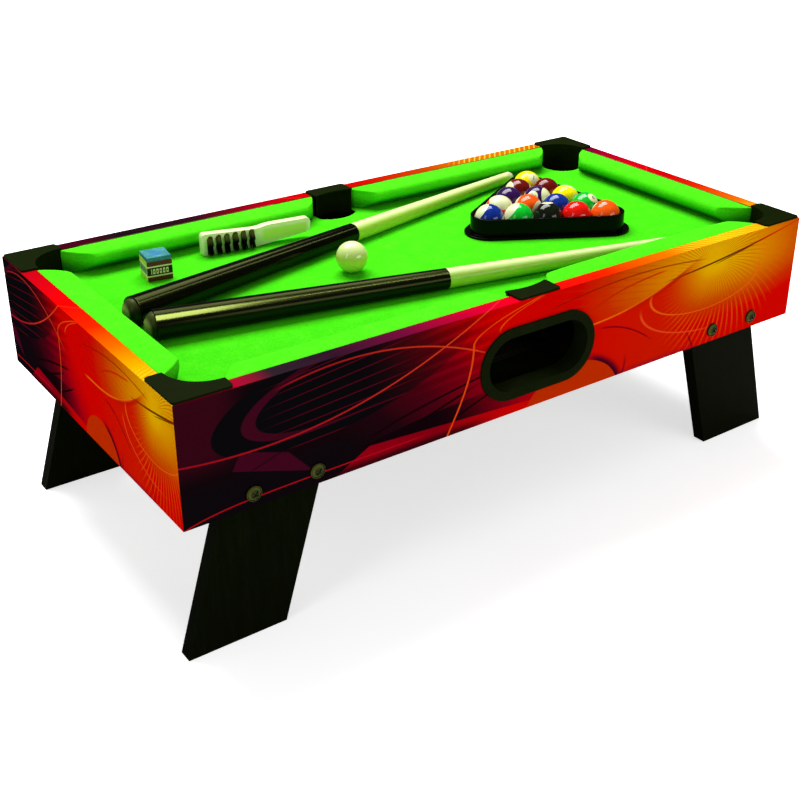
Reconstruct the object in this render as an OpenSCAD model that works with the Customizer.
// Six-pocket tabletop pool table with an internal ball return, bolted legs,
// two cues, a racked set of balls, cue chalk and a cloth brush.
// Origin: centre of the footprint on the floor. +X along the length to the right,
// -Y is the front, the side with the ball return, +Z up. Millimetres.

/* [Table] */
// Overall length over the end boards
table_len = 690; // [680:1:700]
// Overall width over the side boards
table_wid = 354; // [350:1:360]
// Height of the apron boards
apron_h = 106; // [105:0.5:108]
// Thickness of the apron boards and of the legs
board_t = 14; // [13.5:0.25:14.5]
// Height of the apron's lower edge above the floor
ground_gap = 131; // [110:1:150]
// Height of the rail's top above the playing cloth
rail_rise = 21; // [20.5:0.25:22]
// Width of a cushion from the board to its nose
cushion_w = 27.5; // [26:0.25:28]

/* [Bed] */
// Thickness of the playfield board
bed_t = 6; // [5.5:0.5:6.5]
// Thickness of the playing cloth
cloth_t = 1; // [0.8:0.1:1.2]
// Depth the playfield board enters the grooves of the aprons
tongue = 4.8; // [4:0.2:5]

/* [Pockets] */
// Radius of the corner liner's wall, inside
corner_r = 32.4; // [32:0.1:33]
// Thickness of the pocket liners
liner_t = 1.6; // [1.4:0.1:1.8]
// Thickness of the pocket caps on the rails
cap_t = 2; // [1.8:0.1:2.4]
// Length of a corner cap's arms along the rails
cap_arm = 49; // [48:0.5:50]
// Width of a side cap along the rail
side_cap_w = 46.5; // [45:0.5:48]

/* [Ball return] */
// Width of the return bezel
bezel_w = 131; // [129:1:132]
// Height of the return bezel
bezel_h = 68.6; // [68:0.2:69]
// Width of the bezel's face
bezel_rim = 9; // [8.5:0.25:9.5]
// Height of the return's centre above the apron's lower edge
return_z = 49.3; // [49:0.1:49.6]

/* [Legs] */
// Width of a leg, measured level
leg_w = 89.7; // [86:0.5:92]
// Distance of a foot's middle from the table's middle
foot_x = 299.6; // [296:0.5:299.6]
// Lean of the legs from upright, in degrees
leg_lean = 16.5; // [15.5:0.25:16.5]
// Height the legs reach up inside the apron
leg_up = 26; // [24:0.5:27]
// Distance between the two bolts of a leg
bolt_gap = 56.8; // [54:0.2:58]
// Height of the bolts above the apron's lower edge
bolt_z = 12.4; // [12:0.2:13]
// Shank diameter of the leg bolts
bolt_d = 6; // [5:0.5:6]

/* [Playing pieces] */
// Diameter of the balls
ball_d = 30; // [29.8:0.1:30.2]
// Length of a cue from bumper to tip
cue_len = 535; // [520:1:536]
// Radius of a cue's butt at its thick end
butt_r = 13.3; // [12.5:0.1:13.5]
// Radius of a cue at its joint
joint_r = 9.7; // [9.4:0.1:9.7]
// Radius of a cue at its tip
tip_r = 6.2; // [5.8:0.1:6.3]
// Edge of the cue chalk
chalk_s = 23; // [22:0.1:23]
// Height of the triangle rack
rack_h = 20; // [18:0.5:21]

/* [Hidden] */
$fn = 64;
eps = 0.01;
half_len = table_len / 2;
half_wid = table_wid / 2;
inner_x = half_len - board_t;       // inner face of the end boards
inner_y = half_wid - board_t;       // inner face of the side boards
apron_z = ground_gap;               // lower edge of the aprons
rail_z = apron_z + apron_h;         // top of the rails
cloth_z = rail_z - rail_rise;       // top of the playing cloth
board_z = cloth_z - cloth_t;        // top of the playfield board
under_z = board_z - bed_t;          // underside of the playfield board
lift = 0.15;                        // running gap under the loose pieces

// Colours shared by several pieces
cushion_green = [0.25, 0.92, 0.10];
plastic_black = [0.05, 0.05, 0.05];
ramp_brown = [0.45, 0.32, 0.2];
off_black = [0.06, 0.06, 0.05];

// ---------- helpers ----------

// Mirrors its children to a side: side is -1 or 1
module flip_x(side) {
    if (side < 0) mirror([1, 0, 0]) children();
    else children();
}
module flip_y(side) {
    if (side < 0) mirror([0, 1, 0]) children();
    else children();
}
// Repeats what is built at the back right corner at all four
module all_corners() {
    for (sx = [-1, 1], sy = [-1, 1]) flip_x(sx) flip_y(sy) children();
}
// Places children at the inner corner of the rails, x and y running inwards
module at_corner(sx, sy) {
    flip_x(sx) flip_y(sy) translate([inner_x, inner_y, 0]) rotate([0, 0, 180]) children();
}
// Rectangle with rounded corners, centred
module round_rect(wid, high, rad) {
    square([wid - 2 * rad, high], center = true);
    square([wid, high - 2 * rad], center = true);
    for (sx = [-1, 1], sy = [-1, 1])
        translate([sx * (wid / 2 - rad), sy * (high / 2 - rad)]) circle(rad);
}
// Stadium, centred, length along X
module stadium(wid, high) {
    square([wid - high, high], center = true);
    for (side = [-1, 1]) translate([side * (wid - high) / 2, 0]) circle(high / 2);
}
// Triangle with round corners: side between corner centres, apex towards +Y
module round_triangle(side, rad) {
    centres = [for (k = [0:2]) side / sqrt(3) * [cos(90 + 120 * k), sin(90 + 120 * k)]];
    for (centre = centres) translate(centre) circle(rad);
    polygon([for (k = [0:2], turn = [30, 150])
        centres[k] + (rad - eps) * [cos(turn + 120 * k), sin(turn + 120 * k)]]);
}

// ---------- fastener places ----------

pilot_r = 1.75;                 // holes for the wood screws
block_screw_in = 6;             // block screws from the neighbouring board's face
side_screw_z = apron_z + 24;    // screws into the side boards
end_screw_z = apron_z + 13;     // screws into the end boards
bolt_mid = foot_x - (apron_z + bolt_z) * tan(leg_lean);
bolt_hole_d = bolt_d + 0.4;

// Axis of the back right block's screw into the side board, from the board's inner face
module at_side_screw() {
    translate([inner_x - block_screw_in, inner_y, side_screw_z]) rotate([-90, 0, 0]) children();
}
// The same for the screw into the end board
module at_end_screw() {
    translate([inner_x, inner_y - block_screw_in, end_screw_z]) rotate([0, 90, 0]) children();
}
// Bolt axes of the back right leg, z pointing out of the table from the outer face
module at_leg_bolts() {
    for (k = [-0.5, 0.5])
        translate([bolt_mid + k * bolt_gap, half_wid, apron_z + bolt_z])
            rotate([-90, 0, 0]) children();
}
module at_bolts() {
    all_corners() at_leg_bolts() children();
}
// Bolt hole through a board whose inner face lies at depth below the outer face
module bolt_hole(depth) {
    translate([0, 0, -depth - 1]) cylinder(h = board_t + 2, d = bolt_hole_d);
}
// Screws up through the bed into the cushions
cushion_screw_x = [90, 230];    // along a side, from the middle
cushion_screw_y = 70;           // along an end, from the middle
cushion_screw_in = 7;           // from the board's inner face
module at_cushion_screws() {
    for (sx = [-1, 1], sy = [-1, 1], x = cushion_screw_x)
        translate([sx * x, sy * (inner_y - cushion_screw_in), 0]) children();
    for (sx = [-1, 1], sy = [-1, 1])
        translate([sx * (inner_x - cushion_screw_in), sy * cushion_screw_y, 0]) children();
}

// ---------- pocket outlines ----------

corner_out = corner_r + liner_t;            // outer radius of a corner liner
side_liner_r = 22;                          // inside
side_liner_y = inner_y + 6 - side_liner_r;  // centre of the side liner's arc

// Cut in the bed below a corner pocket, in corner coordinates
module corner_hole() {
    over = 10;
    reach = over + corner_out + 0.3;
    translate([17.4, 17.4]) circle(22.9);
    difference() {
        translate([-over, -over]) square([reach, reach]);
        translate([corner_out, corner_out]) circle(corner_r - 0.3);
        translate([corner_out, 0]) square([5, 60]);
        translate([0, corner_out]) square([60, 5]);
    }
}
// Cut in the bed below the back side pocket, larger by grow
module side_hole(grow) {
    half_w = 22.3 + 0.9 * grow;
    intersection() {
        translate([0, inner_y + 5]) circle(30 + grow);
        translate([-half_w, inner_y - 30]) square([2 * half_w, 39]);
    }
}

// ---------- aprons ----------

return_mid_z = apron_z + return_z;
bore_w = bezel_w - 2 * bezel_rim;   // opening of the ball return
bore_h = bezel_h - 2 * bezel_rim;

// Stadium prism of the ball return, from y0 to y1
module stadium_y(wid, high, y0, y1) {
    translate([0, y1, return_mid_z]) rotate([90, 0, 0])
        linear_extrude(y1 - y0) stadium(wid, high);
}
// Mitred board along X with the bed's groove; both sizes are half the table's, outside
module grooved_board(half_run, half_across) {
    inner_run = half_run - board_t;
    inner = half_across - board_t;
    groove_run = inner_run + tongue;
    difference() {
        translate([0, 0, apron_z]) linear_extrude(apron_h)
            polygon([[-half_run, half_across], [half_run, half_across],
                [inner_run, inner], [-inner_run, inner]]);
        translate([-groove_run, inner - eps, under_z - 0.1])
            cube([2 * groove_run, tongue + 0.2 + eps, bed_t + 0.2]);
    }
}
// The back board
module long_board() {
    difference() {
        grooved_board(half_len, half_wid);
        // recess for the side pocket's liner, and for the ball falling past the bed
        translate([0, side_liner_y, under_z - 20])
            cylinder(h = 80, r = side_liner_r + liner_t + 0.4);
        for (sx = [-1, 1]) flip_x(sx) {
            at_leg_bolts() bolt_hole(board_t);
            at_side_screw() translate([0, 0, -1]) cylinder(h = 9, r = pilot_r);
        }
    }
}
// The right board
module end_board() {
    difference() {
        rotate([0, 0, -90]) grooved_board(half_wid, half_len);
        for (sy = [-1, 1]) flip_y(sy)
            at_end_screw() translate([0, 0, -1]) cylinder(h = 9, r = pilot_r);
    }
}
module front_apron() {
    color([0.62, 0.06, 0.05]) difference() {
        flip_y(-1) long_board();
        stadium_y(bore_w + 4.6, bore_h + 4.6, -half_wid - 1, -inner_y + 1);
    }
}
module back_apron() {
    color([0.55, 0.05, 0.08]) long_board();
}
module left_apron() {
    color([0.80, 0.25, 0.05]) flip_x(-1) end_board();
}
module right_apron() {
    color([0.85, 0.35, 0.05]) end_board();
}

// ---------- bed ----------

// margin is how far it runs out past the aprons' inner faces
module bed_outline(margin, side_grow = 0) {
    difference() {
        square([2 * (inner_x + margin), 2 * (inner_y + margin)], center = true);
        for (sx = [-1, 1], sy = [-1, 1]) at_corner(sx, sy) corner_hole();
        for (sy = [-1, 1]) flip_y(sy) side_hole(side_grow);
    }
}
module playfield_board() {
    color([0.72, 0.58, 0.40]) difference() {
        translate([0, 0, under_z]) linear_extrude(bed_t) bed_outline(tongue, 3);
        at_cushion_screws() {
            translate([0, 0, under_z - 1]) cylinder(h = bed_t + 2, r = pilot_r);
            translate([0, 0, under_z - eps]) cylinder(h = 2 + eps, r1 = 3.6, r2 = 1.7);
        }
    }
}
module playing_cloth() {
    color([0.22, 0.85, 0.08]) difference() {
        translate([0, 0, board_z]) linear_extrude(cloth_t) bed_outline(-0.3);
        at_cushion_screws()
            translate([0, 0, board_z - 1]) cylinder(h = cloth_t + 2, r = pilot_r);
    }
}

// ---------- cushions ----------

// Section of a cushion: [inwards from the board, up from the cloth]
cushion_section = [
    [0.1, 0.2], [0.1, rail_rise - 0.4], [cushion_w - 7, rail_rise - 0.4],
    [cushion_w - 2, rail_rise - 2.4], [cushion_w, rail_rise - 6.5],
    [cushion_w - 0.6, rail_rise - 9], [15, 5], [13, 0.2]];
// Plan of a cushion's end: [share of its draw-back, inwards from the board]
cushion_end = [
    [0, -1], [0, 1.5], [0.44, cushion_w * 0.5],
    [0.82, cushion_w * 0.85], [1.25, cushion_w + 1]];
corner_draw = 22;       // how far the nose draws back at a corner pocket
side_draw = 17;         // and at a side pocket
side_start = 22.4;      // start of a long cushion beside the side pocket
corner_clear = corner_out + 0.4;    // inner corner to a cushion's end

// A cushion along +X from x0 to x1 at the board y = 0, running inwards in +Y.
// The nose draws back by draw0 and draw1 at its ends. Children are cut out.
module cushion(x0, x1, draw0, draw1) {
    difference() {
        intersection() {
            translate([x0 - 1, 0, cloth_z]) rotate([90, 0, 90])
                linear_extrude(x1 - x0 + 2) polygon(cushion_section);
            translate([0, 0, cloth_z - 1]) linear_extrude(rail_rise + 2)
                polygon(concat(
                    [for (p = cushion_end) [x0 + draw0 * p[0], p[1]]],
                    [for (i = [4:-1:0])
                        [x1 - draw1 * cushion_end[i][0], cushion_end[i][1]]]));
        }
        children();
    }
}
module cushion_pilot(x) {
    translate([x, cushion_screw_in, cloth_z - 1]) cylinder(h = 10.5, r = pilot_r);
}
module long_cushion(sx, sy) {
    color(cushion_green) flip_x(sx) flip_y(sy) translate([0, inner_y, 0]) mirror([0, 1, 0])
        cushion(side_start, inner_x - corner_clear, side_draw, corner_draw)
            for (x = cushion_screw_x) cushion_pilot(x);
}
module end_cushion(sx) {
    half_run = inner_y - corner_clear;
    color(cushion_green) flip_x(sx) translate([inner_x, 0, 0]) rotate([0, 0, 90])
        cushion(-half_run, half_run, corner_draw, corner_draw)
            for (side = [-1, 1]) cushion_pilot(side * cushion_screw_y);
}
module cushion_front_left() long_cushion(-1, -1);
module cushion_front_right() long_cushion(1, -1);
module cushion_back_left() long_cushion(-1, 1);
module cushion_back_right() long_cushion(1, 1);
module cushion_left_end() end_cushion(-1);
module cushion_right_end() end_cushion(1);

// ---------- pockets ----------

liner_top = rail_z + 0.2;       // liners run a little into their caps
cap_inset = 0.6;                // caps stop short of the boards' outer faces
cap_over = board_t - cap_inset; // reach of a corner cap over the boards
cap_lip = 1.6;                  // reach of its arms past the boards' inner faces
cap_round = 3;                  // radius of the caps' outer corners
arc_mid = corner_out + 0.3;     // centre of a corner liner's arc, in x and in y

// Quarter of a tube, down to just below the bed
module corner_liner() {
    liner_z = under_z - 1;
    translate([0, 0, liner_z]) linear_extrude(liner_top - liner_z) intersection() {
        translate([arc_mid, arc_mid]) difference() {
            circle(corner_out);
            circle(corner_r);
        }
        square([corner_out - 0.2, corner_out - 0.2]);
    }
}
// Rounded end of a cap's arm along X
module cap_arm_end() {
    translate([cap_arm - cap_over - cap_round, 0]) {
        translate([0, cap_round - cap_over]) circle(cap_round);
        translate([0, cap_round - cap_over]) square([cap_round, cap_over - cap_round + 0.1]);
        translate([1.5, 0.1]) circle(1.5);
        translate([-1, 0]) square([2.5, cap_lip]);
    }
}
// Chevron with a hollow inner edge and rounded ends
module corner_cap() {
    start = cap_round - cap_over;
    arm = cap_arm - 2 * cap_round;
    middle = corner_out - 1 + cap_over;
    translate([0, 0, rail_z]) linear_extrude(cap_t) difference() {
        union() {
            translate([start, start]) circle(cap_round);
            translate([start, -cap_over]) square([arm, cap_over + cap_lip]);
            translate([-cap_over, start]) square([cap_over + cap_lip, arm]);
            translate([start, start]) square([middle, middle]);
            cap_arm_end();
            mirror([1, -1]) cap_arm_end();
        }
        translate([arc_mid, arc_mid]) circle(corner_r);
        translate([arc_mid, cap_lip]) square([30, 40]);
        translate([cap_lip, arc_mid]) square([40, 30]);
    }
}
module corner_pocket(sx, sy) {
    color(plastic_black) at_corner(sx, sy) {
        corner_liner();
        corner_cap();
    }
}
module side_pocket(sy) {
    liner_z = under_z + 2.2;
    cap_outer = half_wid - cap_inset;
    cap_inner = inner_y - 9;
    hollow_r = 64;
    color(plastic_black) flip_y(sy) {
        // liner: arc of a tube set into the board
        translate([0, 0, liner_z]) linear_extrude(liner_top - liner_z) intersection() {
            translate([0, side_liner_y]) difference() {
                circle(side_liner_r + liner_t);
                circle(side_liner_r);
            }
            translate([-30, inner_y - 7.5]) square([60, 30]);
        }
        // cap with a hollow inner edge
        translate([0, 0, rail_z]) linear_extrude(cap_t) difference() {
            translate([0, (cap_outer + cap_inner) / 2])
                round_rect(side_cap_w, cap_outer - cap_inner, cap_round);
            translate([0, inner_y - 4.6 - hollow_r]) circle(hollow_r);
        }
    }
}
module pocket_front_left() corner_pocket(-1, -1);
module pocket_front_right() corner_pocket(1, -1);
module pocket_back_left() corner_pocket(-1, 1);
module pocket_back_right() corner_pocket(1, 1);
module pocket_front_side() side_pocket(-1);
module pocket_back_side() side_pocket(1);

// ---------- ball return ----------

ramp_hi = under_z - 32;     // top of a ramp at the table's end
ramp_lo = apron_z + 31;     // top of a ramp beside the chute
ramp_t = 3;                 // thickness of the ramps and the chute
ramp_gap = 0.3;             // play between them and the aprons
chute_x = 66;               // half width between the ramps
chute_hi = apron_z + 28.5;  // top of the chute at the back
chute_lo = apron_z + 19;    // top of the chute at the basin
basin_y = 112;              // basin's back edge, from the table's middle
basin_half = 64;            // half width of the basin
basin_wall = 2;
basin_gap = 0.2;            // play around the basin
basin_z = return_mid_z - bore_h / 2 - 10;

module return_sleeve() {
    difference() {
        union() {
            // bezel on the board's outer face, and the sleeve through the board
            stadium_y(bezel_w, bezel_h, -half_wid - 2, -half_wid);
            stadium_y(bore_w + 4, bore_h + 4, -half_wid - 1, -inner_y + 2.2);
        }
        stadium_y(bore_w, bore_h, -half_wid - 3, -inner_y + 3);
        // the sleeve stops short above, where balls drop from the side pocket
        translate([-70, -inner_y - 6.5, under_z - 8]) cube([140, 20, 30]);
    }
}
// Basin behind the front board
module return_basin() {
    front = -inner_y + basin_gap;
    depth = -basin_y - front;
    inside = 2 * (basin_half - basin_wall);
    difference() {
        translate([-basin_half, front, basin_z])
            cube([2 * basin_half, depth, ramp_lo - 0.5 - basin_z]);
        translate([-inside / 2, front + basin_wall, basin_z + basin_wall])
            cube([inside, depth - 2 * basin_wall, 60]);
        stadium_y(bore_w, bore_h, -inner_y - 1, -inner_y + 3);
        // opening to the chute
        translate([-inside / 2, -basin_y - 4, chute_lo - 1.2]) cube([inside, 10, 40]);
        stadium_y(bore_w + 3.9, bore_h + 3.9, -inner_y - 1, -inner_y + 1);
    }
}
module ball_return_tray() {
    color(plastic_black) {
        return_sleeve();
        return_basin();
    }
}
// Ramps and chute under the bed: balls roll to the middle, then to the return
module ramp(sx) {
    slope = atan((ramp_hi - ramp_lo) / (inner_x - 1 - chute_x));
    color(ramp_brown) flip_x(sx) intersection() {
        translate([chute_x, -inner_y + ramp_gap, ramp_lo - ramp_t]) rotate([0, -slope, 0])
            translate([-10, 0, 0])
                cube([inner_x - chute_x + 30, 2 * (inner_y - ramp_gap), ramp_t]);
        translate([chute_x, -inner_y, apron_z])
            cube([inner_x - ramp_gap - chute_x, 2 * inner_y, apron_h]);
    }
}
module ramp_left() ramp(-1);
module ramp_right() ramp(1);
module centre_chute() {
    slope = atan((chute_hi - chute_lo) / (inner_y - ramp_gap + basin_y));
    front = -basin_y + basin_gap;
    run = inner_y - ramp_gap - front;
    side_gap = 0.4;
    base_z = chute_lo - ramp_t;
    color(ramp_brown) {
        intersection() {
            translate([-chute_x + side_gap, -basin_y, base_z]) rotate([slope, 0, 0])
                translate([0, -10, 0])
                    cube([2 * (chute_x - side_gap), inner_y + basin_y + 30, ramp_t]);
            translate([-chute_x, front, apron_z]) cube([2 * chute_x, run, apron_h]);
        }
        // cheeks that keep the balls on it
        for (sx = [-1, 1]) flip_x(sx)
            translate([chute_x - side_gap - 2, front, base_z])
                cube([2, run, ramp_lo - 0.4 - base_z]);
    }
}

// ---------- corner blocks and fasteners ----------

block_w = 20;
block_h = 39.5;
screw_r = 1.6;
block_screw_len = 29;
cup_base = 0.6;     // thickness of a cup washer's base
cup_r = 7;
leg_inner = 2 * board_t;    // a leg's inner face, from the apron's outer face

module corner_blocks() {
    color([0.75, 0.6, 0.4]) all_corners() difference() {
        translate([inner_x - block_w, inner_y - block_w, apron_z + 2])
            cube([block_w, block_w, block_h]);
        at_side_screw() translate([0, 0, -block_w - 1]) cylinder(h = 32, r = pilot_r);
        at_end_screw() translate([0, 0, -block_w - 1]) cylinder(h = 32, r = pilot_r);
    }
}
// Cross-slotted wood screw: head's top at z = 0, pointing to +Z
module wood_screw(len) {
    point = 3;
    difference() {
        union() {
            cylinder(h = 2, r1 = 3.3, r2 = screw_r);
            cylinder(h = len - point, r = screw_r);
            translate([0, 0, len - point]) cylinder(h = point, r1 = screw_r, r2 = 0.3);
        }
        for (turn = [0, 90]) rotate([0, 0, turn])
            translate([-1.6, -0.35, -1]) cube([3.2, 0.7, 1.9]);
    }
}
module wood_screws() {
    color([0.75, 0.75, 0.78]) {
        at_cushion_screws() translate([0, 0, under_z]) wood_screw(16);
        all_corners() {
            at_side_screw() translate([0, 0, -block_w - 2]) wood_screw(block_screw_len);
            at_end_screw() translate([0, 0, -block_w - 2]) wood_screw(block_screw_len);
        }
    }
}
// Bolts with a domed, cross-slotted head in the cup washer
module leg_bolts() {
    color([0.42, 0.38, 0.18]) at_bolts() difference() {
        union() {
            translate([0, 0, cup_base]) intersection() {
                cylinder(h = 3.2, r = 5.6);
                translate([0, 0, -4.4]) sphere(7.6);
            }
            translate([0, 0, -leg_inner - 7]) cylinder(h = leg_inner + 8, d = bolt_d - 0.1);
        }
        for (turn = [45, 135]) rotate([0, 0, turn])
            translate([-3.2, -0.65, 1.7]) cube([6.4, 1.3, 3]);
    }
}
module leg_cup_washers() {
    color([0.45, 0.40, 0.20]) at_bolts() difference() {
        union() {
            cylinder(h = cup_base, r = cup_r);
            translate([0, 0, cup_base]) cylinder(h = 1.6, r1 = cup_r, r2 = 6.5);
        }
        translate([0, 0, -1]) cylinder(h = 5, d = bolt_hole_d);
        translate([0, 0, cup_base]) cylinder(h = 3, r = 5.7);
    }
}
// Hexagon nuts with a round flange against the leg
module leg_nuts() {
    nut_h = 5;
    color([0.7, 0.7, 0.72]) at_bolts() translate([0, 0, -leg_inner - nut_h]) difference() {
        union() {
            cylinder(h = nut_h, r = 5.75, $fn = 6);
            translate([0, 0, nut_h - 1]) cylinder(h = 1, r = 6.2);
        }
        translate([0, 0, -1]) cylinder(h = nut_h + 2, d = bolt_d);
    }
}

// ---------- legs ----------

module leg(sx, sy) {
    leg_top = apron_z + leg_up;
    top_x = foot_x - leg_top * tan(leg_lean);
    half_w = leg_w / 2;
    color(off_black) flip_x(sx) flip_y(sy) difference() {
        translate([0, inner_y, 0]) rotate([90, 0, 0]) linear_extrude(board_t)
            polygon([[foot_x - half_w, 0], [foot_x + half_w, 0],
                [top_x + half_w, leg_top], [top_x - half_w, leg_top]]);
        at_leg_bolts() bolt_hole(leg_inner);
    }
}
module leg_front_left() leg(-1, -1);
module leg_front_right() leg(1, -1);
module leg_back_left() leg(-1, 1);
module leg_back_right() leg(1, 1);

// ---------- balls and rack ----------

pitch = ball_d + 0.25;          // between racked balls
rack_at = [166, 14.6];
rack_yaw = -29;
rack_in_r = ball_d / 2 + 1.8;   // inner corner radius
rack_wall = 2.4;
rack_foot = 6;                  // width of the flange around the wall

yellow = [0.95, 0.85, 0.05];
blue = [0.05, 0.10, 0.60];
red = [0.85, 0.08, 0.05];
purple = [0.25, 0.05, 0.35];
orange = [0.95, 0.35, 0.05];
green = [0.05, 0.55, 0.15];
maroon = [0.45, 0.05, 0.05];

module ball(x, y, tint) {
    color(tint) translate([x, y, cloth_z + ball_d / 2 + lift]) sphere(d = ball_d);
}
// A ball in the rack: row 0 is the apex, k counts from the left before the rack's yaw
module racked(row, k, tint) {
    x = (k - row / 2) * pitch;
    y = 4 * pitch / sqrt(3) - row * pitch * sin(60);
    ball(rack_at[0] + x * cos(rack_yaw) - y * sin(rack_yaw),
        rack_at[1] + x * sin(rack_yaw) + y * cos(rack_yaw), tint);
}
module cue_ball() ball(-75.7, 4.6, [0.95, 0.95, 0.85]);
module ball_01() racked(0, 0, yellow);
module ball_15() racked(1, 0, maroon);
module ball_07() racked(1, 1, maroon);
module ball_04() racked(2, 0, purple);
module ball_12() racked(2, 1, purple);
module ball_09() racked(2, 2, yellow);
module ball_11() racked(3, 0, red);
module ball_13() racked(3, 1, orange);
module ball_02() racked(3, 2, blue);
module ball_06() racked(3, 3, green);
module ball_10() racked(4, 0, blue);
module ball_14() racked(4, 1, green);
module ball_08() racked(4, 2, [0.03, 0.03, 0.03]);
module ball_03() racked(4, 3, red);
module ball_05() racked(4, 4, orange);
module triangle_rack() {
    side = 4 * pitch;
    wall_r = rack_in_r + rack_wall;
    color(plastic_black) translate([rack_at[0], rack_at[1], cloth_z + lift])
        rotate([0, 0, rack_yaw]) difference() {
            union() {
                linear_extrude(rack_h) round_triangle(side, wall_r);
                linear_extrude(2.4) round_triangle(side, wall_r + rack_foot);
            }
            translate([0, 0, -1]) linear_extrude(rack_h + 2) round_triangle(side, rack_in_r);
        }
}

// ---------- cues ----------

// Stations along a cue from the bumper's end
bumper_bevel = 3;
bumper_len = 7.5;
joint_at = 275;
tip_at = cue_len - 9;
tip_bevel_at = cue_len - 3;

// Places a cue lying on the cloth: butt end at x, y, pointing along yaw
module lay_cue(x, y, yaw) {
    tilt = asin((butt_r - tip_r) / cue_len);
    translate([x, y, cloth_z + butt_r + lift]) rotate([0, tilt, yaw])
        rotate([0, 90, 0]) children();
}
module lay_rear() lay_cue(-299.6, 7.5, 13.25) children();
module lay_front() lay_cue(-297.4, -25.4, -11.1) children();

// Part of a cue between two stations
module cue_part(from, to, r1, r2) {
    translate([0, 0, from]) cylinder(h = to - from, r1 = r1, r2 = r2);
}
module cue_bumper() {
    color([0.12, 0.12, 0.07]) {
        cue_part(bumper_bevel, bumper_len, butt_r - 2.4, butt_r - 1.4);
        cue_part(0, bumper_bevel, butt_r - 5.5, butt_r - 2.4);
    }
}
module cue_butt() {
    color([0.07, 0.05, 0.03]) cue_part(bumper_len, joint_at, butt_r, joint_r);
}
module cue_shaft() {
    color([0.93, 0.92, 0.78]) cue_part(joint_at, tip_at, joint_r - 0.3, tip_r);
}
module cue_tip() {
    color([0.85, 0.75, 0.6]) {
        cue_part(tip_at, tip_bevel_at, tip_r - 0.1, tip_r - 0.1);
        cue_part(tip_bevel_at, cue_len, tip_r - 0.1, tip_r - 1.4);
    }
}
module rear_cue_bumper() lay_rear() cue_bumper();
module rear_cue_butt() lay_rear() cue_butt();
module rear_cue_shaft() lay_rear() cue_shaft();
module rear_cue_tip() lay_rear() cue_tip();
module front_cue_bumper() lay_front() cue_bumper();
module front_cue_butt() lay_front() cue_butt();
module front_cue_shaft() lay_front() cue_shaft();
module front_cue_tip() lay_front() cue_tip();

// ---------- chalk and brush ----------

label_base = 0.3;   // thickness of the label under the chalk

module at_chalk() {
    translate([-229, 100.5, cloth_z + lift]) rotate([0, 0, -8]) children();
}
// Square prism standing on z, centred in plan
module post(wid, z, high) {
    translate([-wid / 2, -wid / 2, z]) cube([wid, wid, high]);
}
// Cube with a dished top
module chalk_block() {
    color([0.25, 0.65, 0.70]) at_chalk() difference() {
        post(chalk_s, label_base, chalk_s - label_base);
        translate([0, 0, chalk_s + 22]) sphere(23.2);
    }
}
module chalk_label() {
    color([0.35, 0.12, 0.06]) at_chalk() difference() {
        post(chalk_s + 0.7, 0, chalk_s * 0.83);
        post(chalk_s + 0.1, label_base, chalk_s);
    }
}

// Outline of the brush handle: [along, up]
brush_outline = [
    [1.6, 0], [57, 0.1], [66, 1.4], [109, 6.4], [112, 7.5], [113.6, 9.5],
    [114, 12], [114, 17], [113.2, 19.4], [111, 20.8], [72, 20.9], [65, 20.3],
    [60, 19.2], [54, 18.8], [3.5, 21.9], [1.3, 21.2], [0.2, 19.4], [0, 17],
    [0, 1.6], [0.5, 0.5]];
tuft_pitch = 8.6;
tuft_z = [9.3, 17.2];   // heights of the two rows

// The brush stands on its long edge, tufts towards the front
module at_brush() {
    translate([-171, 128, cloth_z + lift]) rotate([0, 0, -6.6]) children();
}
module at_tufts() {
    for (k = [1:6], z = tuft_z)
        translate([k * tuft_pitch, -6, z]) rotate([125, 0, -15]) children();
}
module brush_handle() {
    color([0.92, 0.95, 0.85]) at_brush() difference() {
        rotate([90, 0, 0]) linear_extrude(8) polygon(brush_outline);
        at_tufts() cylinder(h = 7, r = 2.95);
    }
}
module brush_bristles() {
    color(off_black) at_brush() at_tufts() cylinder(h = 11.5, r = 2.9);
}

front_apron();
back_apron();
left_apron();
right_apron();
playfield_board();
playing_cloth();
cushion_front_left();
cushion_front_right();
cushion_back_left();
cushion_back_right();
cushion_left_end();
cushion_right_end();
pocket_front_left();
pocket_front_right();
pocket_back_left();
pocket_back_right();
pocket_front_side();
pocket_back_side();
ball_return_tray();
ramp_left();
ramp_right();
centre_chute();
corner_blocks();
leg_front_left();
leg_front_right();
leg_back_left();
leg_back_right();
leg_bolts();
leg_cup_washers();
leg_nuts();
wood_screws();
cue_ball();
ball_01();
ball_02();
ball_03();
ball_04();
ball_05();
ball_06();
ball_07();
ball_08();
ball_09();
ball_10();
ball_11();
ball_12();
ball_13();
ball_14();
ball_15();
triangle_rack();
rear_cue_bumper();
rear_cue_butt();
rear_cue_shaft();
rear_cue_tip();
front_cue_bumper();
front_cue_butt();
front_cue_shaft();
front_cue_tip();
chalk_block();
chalk_label();
brush_handle();
brush_bristles();
